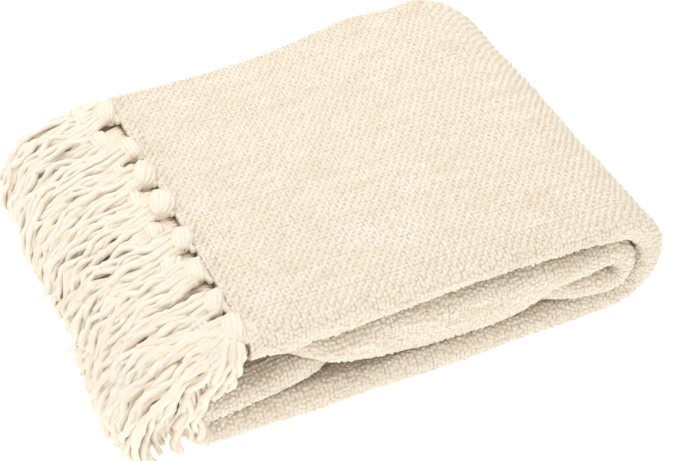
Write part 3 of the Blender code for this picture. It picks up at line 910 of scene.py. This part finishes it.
tassel = {
    "yarnRadius": 0.0025,
    "lobeDepth": 0.10,
    "lumps": 0.11,
    "twist": 380.0,
    "bundleWidth": 0.0095,
    "bundleHeight": 0.0030,
    "lane": 0.024,
    "pile": 0.0072,  # how high the yarns of a tassel lie over one another
    "hiddenPile": 0.0035,
    "pitch": 0.0385,  # from one tassel to the next, in the rows that hide
    "tipLift": 0.018,  # how far from the floor the shorter yarns end
    "wander": 0.0042,
    "curl": 0.0080,
    "neckYarns": 7,  # from the cloth's edge into a knot that shows
    "hiddenNeckYarns": 3,
    "neckWidth": 0.032,
    "seed": 41,
}

# Tassel rows. Columns: level, layer (n in layer pitches), knot x, yarns, path steps, tube sides
tasselRows = {
    "top": [
        (3, 1.5, 0.0465, 20, 44, 8),
        (3, 0.5, 0.0330, 15, 38, 7),
        (3, -0.5, 0.0440, 11, 26, 6),
        (3, -1.5, 0.0320, 11, 26, 6),
    ],
    "inner": [
        (2, -1.5, 0.0560, 9, 24, 6),
        (2, -0.5, 0.0690, 8, 20, 5),
        (2, 0.5, 0.0560, 8, 20, 5),
        (2, 1.5, 0.0690, 8, 20, 5),
    ],
}
# Where the knots of the two rows that show sit along y
topKnotY = [0.0170, 0.0470, 0.0840, 0.1200, 0.1650, 0.2030, 0.2380, 0.2900]
secondKnotY = [0.0330, 0.0800, 0.1050, 0.1450, 0.1850, 0.2200, 0.2640, 0.3020]


def rowPlaces(name, order):
    # where a row's knots stand along y; the inner end follows its own recessed front
    if name == "top" and order < 2:
        return (topKnotY, secondKnotY)[order]
    rng = np.random.default_rng(100 + order + (50 if name == "inner" else 0))
    even = 0.0180 + tassel["pitch"] * (order % 2) / 2 + tassel["pitch"] * np.arange(8)
    even = even + rng.uniform(-0.003, 0.003, 8)
    front = 0.018 if name == "inner" else 0.0
    return (even + front * (1 - even / fold["depth"]) ** 2).tolist()


def strandPaths(rng, knotPlace, radius, yarns, steps, lane, shown, lowest):
    # the free yarns of one tassel, from the knot over the round of the pile to the floor
    knotX, knotY, knotZ = knotPlace
    share = np.linspace(0, 1, steps)[None, :]
    order = rng.permutation(yarns)
    slot = (order + 0.5) / yarns * 2 - 1 + rng.uniform(-0.10, 0.10, yarns)
    height = (np.arange(yarns) + 0.5) / yarns  # 0 lies lowest in the tassel, 1 on top
    pile = tassel["pile"] if shown else tassel["hiddenPile"]
    ownRadius = radius - 0.0005 - pile * (1 - height) * (1 - 0.3 * np.abs(slot)) - 0.002 * np.abs(slot)
    centre = leftTangent
    startX = knotX - 0.003
    flat = max(startX - centre, 0.0)
    arcLength = ownRadius * math.pi / 2
    tipLift = rng.uniform(0, tassel["tipLift"], yarns) * np.where(height > 0.4, 1.0, 0.3)
    total = flat + arcLength + (centre - tassel["yarnRadius"] - tipLift)
    total = total * np.where(height > 0.55, rng.uniform(0.80, 1.0, yarns), rng.uniform(0.93, 1.0, yarns))
    run = share * total[:, None]
    turn = np.clip((run - flat) / arcLength[:, None], 0, 1) * math.pi / 2
    down = np.clip(run - flat - arcLength[:, None], 0, None)
    x = centre + np.clip(flat - run, 0, None) - ownRadius[:, None] * np.sin(turn)
    x = x + down * rng.uniform(-0.05, 0.75, yarns)[:, None]
    z = centre + ownRadius[:, None] * np.cos(turn) - down

    def wave(low, high, reachLow, reachHigh):
        count = rng.uniform(low, high, yarns)[:, None]
        phase = rng.uniform(0, 2 * math.pi, yarns)[:, None]
        reach = rng.uniform(reachLow, reachHigh, yarns)[:, None]
        return reach * np.sin(share * count + phase)

    # sideways: spread, wander and a late curl
    spread = eased(-0.25, 0.95, share)
    tipY = slot * lane + rng.uniform(-0.004, 0.004, yarns)
    startY = slot * tassel["bundleWidth"]
    sway = (wave(4, 8, 0.3, 0.9) + wave(12, 24, 0.35, 0.9)) * tassel["wander"]
    curl = rng.uniform(-1, 1, yarns)[:, None] * tassel["curl"] * share ** 4
    y = knotY + startY[:, None] + (tipY - startY)[:, None] * spread
    y = y + sway * eased(0.03, 0.45, share) + curl
    # away from the pile: a soft rise behind the knot, small ripples and loose tips
    ripple = wave(12, 24, 0.0010, 0.0030) - 0.0015
    kick = rng.uniform(-0.8, 0.4, yarns)[:, None] * share ** 4 * (0.008 if shown else 0.003)
    away = ripple * eased(0.04, 0.3, share) + kick
    x = x - np.sin(turn) * away
    z = z + np.cos(turn) * away
    startZ = knotZ + (height - 0.5) * 2 * tassel["bundleHeight"]
    z = z + (startZ - z[:, 0])[:, None] * (1 - eased(0, 0.18, share))
    z = np.maximum(z, tassel["yarnRadius"])
    y = np.maximum(y, lowest + 0.002 * np.sin(share * 9 + slot[:, None] * 5))
    return np.stack([x, y, z], axis=-1), height


# The corner tassel has more yarns: a fan that turns from the left to the front of the pile, and a
# short bunch that hangs before the cloth's end
corner = {
    "root": (0.041, 0.019, 0.0985),
    "fanYarns": 40,
    "fanSteps": 44,
    # how deep in painted shade each fan yarn lies, drawn at random between these
    "fanShade": (0.45, 1.0),
    # where the fan's yarns end. Columns: turn, x, y
    "fanEnds": [(0.0, -0.046, 0.060), (0.3, -0.040, 0.028), (0.55, -0.025, 0.015), (0.8, -0.007, 0.005),
                (1.0, 0.013, 0.002)],
    "hangingYarns": 10,
    "hangingSteps": 22,
    # how deep in painted shade each hanging yarn lies, drawn at random between these
    "hangingShade": (0.60, 0.95),
}


def fanPaths(rng):
    yarns = corner["fanYarns"]
    rootX, rootY, rootZ = corner["root"]

    def loose(low, high):
        return rng.uniform(low, high, yarns)

    t = np.linspace(0, 1, corner["fanSteps"])[None, :, None]
    slot = np.clip((np.arange(yarns) + 0.5) / yarns + loose(-0.06, 0.06), 0, 1)
    back = 1 - slot
    lift = loose(0.0, 0.030) * np.where(slot > 0.5, 1.0, 0.4)
    endX = tableColumn(corner["fanEnds"], slot, 1) + loose(-0.003, 0.003)
    endY = tableColumn(corner["fanEnds"], slot, 2) + loose(-0.004, 0.004)
    begin = [rootX + 0 * slot, rootY - 0.010 * slot, rootZ + loose(-0.002, 0.002)]
    begin = np.stack(begin, axis=-1)
    leave = [-0.010 - 0.032 * back, 0.010 * back - 0.013 * slot, loose(0.002, 0.012)]
    first = begin + np.stack(leave, axis=-1)
    second = [endX - 0.012 * back, endY - 0.007, 0.060 + 0.020 * back + loose(-0.006, 0.006)]
    second = np.stack(second, axis=-1)
    last = np.stack([endX, endY, 0.004 + lift], axis=-1)
    bezier = (1 - t) ** 3 * begin[:, None] + 3 * t * (1 - t) ** 2 * first[:, None]
    bezier = bezier + 3 * t * t * (1 - t) * second[:, None] + t ** 3 * last[:, None]
    for axis, reach in ((0, 0.0034), (1, 0.0026), (2, 0.0016)):
        count = loose(9, 22)[:, None]
        phase = loose(0, 2 * math.pi)[:, None]
        bezier[..., axis] += reach * np.sin(t[..., 0] * count + phase) * eased(0.03, 0.35, t[..., 0])
    bezier[..., 2] = np.maximum(bezier[..., 2], tassel["yarnRadius"])
    return bezier


def hangingPaths(rng):
    # longer towards the fan
    yarns = corner["hangingYarns"]
    rootX, _, rootZ = corner["root"]
    t = np.linspace(0, 1, corner["hangingSteps"])[None, :]
    slot = (rng.permutation(yarns)[:, None] + 0.5) / yarns
    low = 0.058 + 0.014 * slot + rng.uniform(-0.005, 0.005, (yarns, 1))
    x = rootX + 0.010 * slot + (0.010 + 0.029 * slot - rootX - 0.010 * slot) * t
    x = x + 0.0022 * np.sin(9 * t + 17 * slot)
    y = 0.010 - 0.0125 * eased(0.0, 0.40, t) + 0.0024 * np.sin(8 * t + 23 * slot)
    z = rootZ + 0.004 * np.sin(math.pi * np.clip(t * 3, 0, 1))
    z = z - (rootZ - low) * eased(0.05, 1.1, t) * 1.04
    return np.stack([x, y + 0 * slot, z], axis=-1)


def yarnSet(rng, paths, sides, shadeTone):
    # tubes on the paths, swelling and thinning in long and short slubs
    yarns, steps, _ = paths.shape
    share = np.linspace(0, 1, steps)[None, :]
    radii = tassel["yarnRadius"] * rng.uniform(0.88, 1.14, yarns)[:, None] * np.ones((1, steps))

    def slub(low, high):
        count = rng.uniform(low, high, yarns)[:, None]
        return np.sin(share * count + rng.uniform(0, 6, yarns)[:, None])

    radii = radii * (1 + 0.10 * slub(12, 30) + 0.07 * slub(40, 70))
    radii[:, -1] *= 0.9
    return yarnTubes(rng, paths, radii, sides, shadeTone)


def cornerYarns(rng, sides):
    parts = []
    for makePaths, shadeTones in ((fanPaths, corner["fanShade"]), (hangingPaths, corner["hangingShade"])):
        paths = makePaths(rng)
        # each yarn's painted shade, drawn at random and even along it
        shadeTone = rng.uniform(*shadeTones, (len(paths), 1)) * np.ones((1, paths.shape[1]))
        parts.append(yarnSet(rng, paths, sides, shadeTone))
    return parts


def neckPaths(centre, layerZ, edgeX, count):
    # the short yarns from the cloth's edge into a knot
    spread = ((np.arange(count) + 0.5) / count - 0.5) * tassel["neckWidth"]
    t = np.linspace(0, 1, 6)[None, :]
    each = np.zeros((count, 1))
    x = edgeX + (centre[0] + 0.002 - edgeX) * t + each
    y = centre[1] + spread[:, None] * (1 - 0.60 * t)
    z = layerZ + 0.0006 + (centre[2] - layerZ) * t + np.sin(t * math.pi) * 0.0012 + each
    return np.stack([x, y, z], axis=-1)


def makeFringe(name, rows, endX, material):
    # the knots, necks and free yarns of one end of the cloth, row by row
    isTop = name == "top"
    edgeX = endX - fold["heading"] - 0.0015
    knots = []
    upper = []
    lower = []
    for order, (level, layer, knotX, yarns, steps, sides) in enumerate(rows):
        layerZ = levelZ[level] + layer * fold["layerPitch"] * (1 if level == 3 else -1)
        rng = np.random.default_rng(tassel["seed"] + order + (0 if isTop else 10))
        uppermost = isTop and order == 0
        shown = isTop and order < 2
        size, laneShare, detail, necks = 1.0, 1.0, knot["detail"], tassel["neckYarns"]
        if not shown:
            size, laneShare, detail, necks = (
                knot["hiddenScale"], 0.75, knot["hiddenDetail"], tassel["hiddenNeckYarns"])
        strands = upper if uppermost else lower
        for number, knotY in enumerate(rowPlaces(name, order)):
            scale = rng.uniform(0.86, 1.10) * size
            lift = knot["lift"] if uppermost else 0.0
            centre = (knotX + rng.uniform(-0.002, 0.002), knotY, layerZ + lift)
            tilt = rng.uniform(-0.45, 0.05)
            knots.append(knotPart(centre, tilt, scale, 500 + order * 20 + number, detail))
            paths, height = strandPaths(rng, centre, layerZ - leftTangent, yarns, steps,
                                        tassel["lane"] * laneShare, shown, -0.006 if isTop else 0.021)
            # painted shade: darker near the knot, and on the yarns that lie low in the tassel
            shadeTone = 0.45 + 0.55 * eased(0.0, 0.10, np.linspace(0, 1, steps)[None, :])
            shadeTone = shadeTone * (0.45 + 0.55 * height[:, None])
            strands.append(yarnSet(rng, paths, sides, shadeTone))
            if uppermost and number == 0:
                strands += cornerYarns(rng, sides)
            neck = neckPaths(centre, layerZ, edgeX, necks)
            # painted shade: the neck yarns are given an even middling shade
            knots.append(yarnSet(rng, neck, 6, np.full((necks, 6), 0.6)))
    label = "Top" if isTop else "Inner"
    pieces = [addParts("tassels" + label, lower, material), addParts("knots" + label, knots, material)]
    if upper:
        pieces.append(addParts("tasselsUppermost", upper, material))
    return pieces


def makeHeading(name, runFrom, runTo, material):
    # the last woven strip, cut off with its tassels from the sheet by a fine parting
    runs = np.linspace(runFrom, runTo, 4)
    run, across = np.meshgrid(runs, sectionSpots(), indexing="ij")
    point, normal = sheetFrame(run, across)
    upper = point + normal * sheet["outerHalf"]
    lower = point - normal * sheet["innerHalf"]
    points, faces, uv = closedSkin(upper, lower, runs, across)
    return addMesh(name, points, faces, material, uv)


sheetMaterial = makeChenille("chenilleSheet", True)
floatMaterial = makeChenille("chenilleFloats", False)
yarnMaterial = makeYarn("fringeYarn")
blanket = makeSheet(sheetMaterial)
print("sheet done", len(blanket.data.polygons))
weavePieces, topEdge = makeFloats(floatMaterial)
topPieces = makeFringe("top", tasselRows["top"], fold["topEndX"], yarnMaterial)
innerPieces = makeFringe("inner", tasselRows["inner"], fold["innerEndX"], yarnMaterial)
stripWidth = fold["heading"] - fold["parting"]
topHeading = makeHeading("headingTop", 0.0, stripWidth, sheetMaterial)
innerHeading = makeHeading("headingInner", pathLength - stripWidth, pathLength, sheetMaterial)
print("cloth and fringe done")

for piece in [blanket] + weavePieces:
    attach(piece, "root")
    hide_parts("blanket")
for piece in topPieces + [topHeading, topEdge]:
    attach(piece, "root")
    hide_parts("fringe_top")
for piece in innerPieces + [innerHeading]:
    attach(piece, "root")
    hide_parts("fringe_inner")


# The stage: a plain white floor, soft studio light, and the photograph's view
stage = {
    "floorSize": 6.0,
    "floorDrop": 0.0004,
    "floorColour": (0.93, 0.93, 0.93, 1.0),
    "floorGlow": 0.6,
    "worldColour": (1.0, 0.99, 0.975, 1.0),
    "worldStrength": 0.78,
    # Columns: name, place, target, size, watts, colour
    "lights": [
        ("overhead", (-0.1, 0.35, 1.5), (0, 0, 0.03), 1.3, 14.0, (1.0, 0.985, 0.96)),
        ("frontFill", (-0.55, -1.4, 0.6), (0, 0, 0.04), 1.0, 3.6, (1.0, 0.98, 0.95)),
    ],
    "azimuth": -24.9,
    "elevation": 41.9,
    "distance": 1.288,
    "aim": (0.187, 0.1406, 0.040),
    "focal": 1600 / 680 * 36,  # in millimetres, on a sensor 36 wide
}


def makeFloor():
    half, low = stage["floorSize"] / 2, -stage["floorDrop"]
    corners = [(-half, -half, low), (half, -half, low), (half, half, low), (-half, half, low)]
    material, _, shader = newMaterial("whiteFloor")
    shader.inputs["Base Color"].default_value = stage["floorColour"]
    shader.inputs["Roughness"].default_value = 0.9
    shader.inputs["Emission Color"].default_value = (1, 1, 1, 1)
    shader.inputs["Emission Strength"].default_value = stage["floorGlow"]
    floor = addMesh("floor", np.array(corners), [(0, 1, 2, 3)], material)


def aimed(data, place, direction):
    # links a light or a camera that looks in the given direction
    item = bpy.data.objects.new(data.name, data)
    item.location = place
    item.rotation_euler = direction.to_track_quat("-Z", "Y").to_euler()
    bpy.context.scene.collection.objects.link(item)
    return item


def makeLights():
    world = bpy.data.worlds.new("softRoom")
    world.use_nodes = True
    background = world.node_tree.nodes["Background"]
    background.inputs["Color"].default_value = stage["worldColour"]
    background.inputs["Strength"].default_value = stage["worldStrength"]
    bpy.context.scene.world = world
    for name, place, target, size, power, colour in stage["lights"]:
        light = bpy.data.lights.new(name, "AREA")
        light.shape = "SQUARE"
        light.size = size
        light.energy = power
        light.color = colour
        aimed(light, place, Vector(target) - Vector(place))


def makeCamera():
    azimuth = math.radians(stage["azimuth"])
    elevation = math.radians(stage["elevation"])
    level = math.cos(elevation)
    back = Vector((math.sin(azimuth) * level, -math.cos(azimuth) * level, math.sin(elevation)))
    aim = Vector(stage["aim"]) + Vector(shift.tolist())
    data = bpy.data.cameras.new("camera")
    data.sensor_width = 36
    data.lens = stage["focal"]
    bpy.context.scene.camera = aimed(data, aim + back * stage["distance"], -back)


makeFloor()
makeLights()
makeCamera()
bpy.context.scene.view_settings.view_transform = "Standard"
print("stage done")
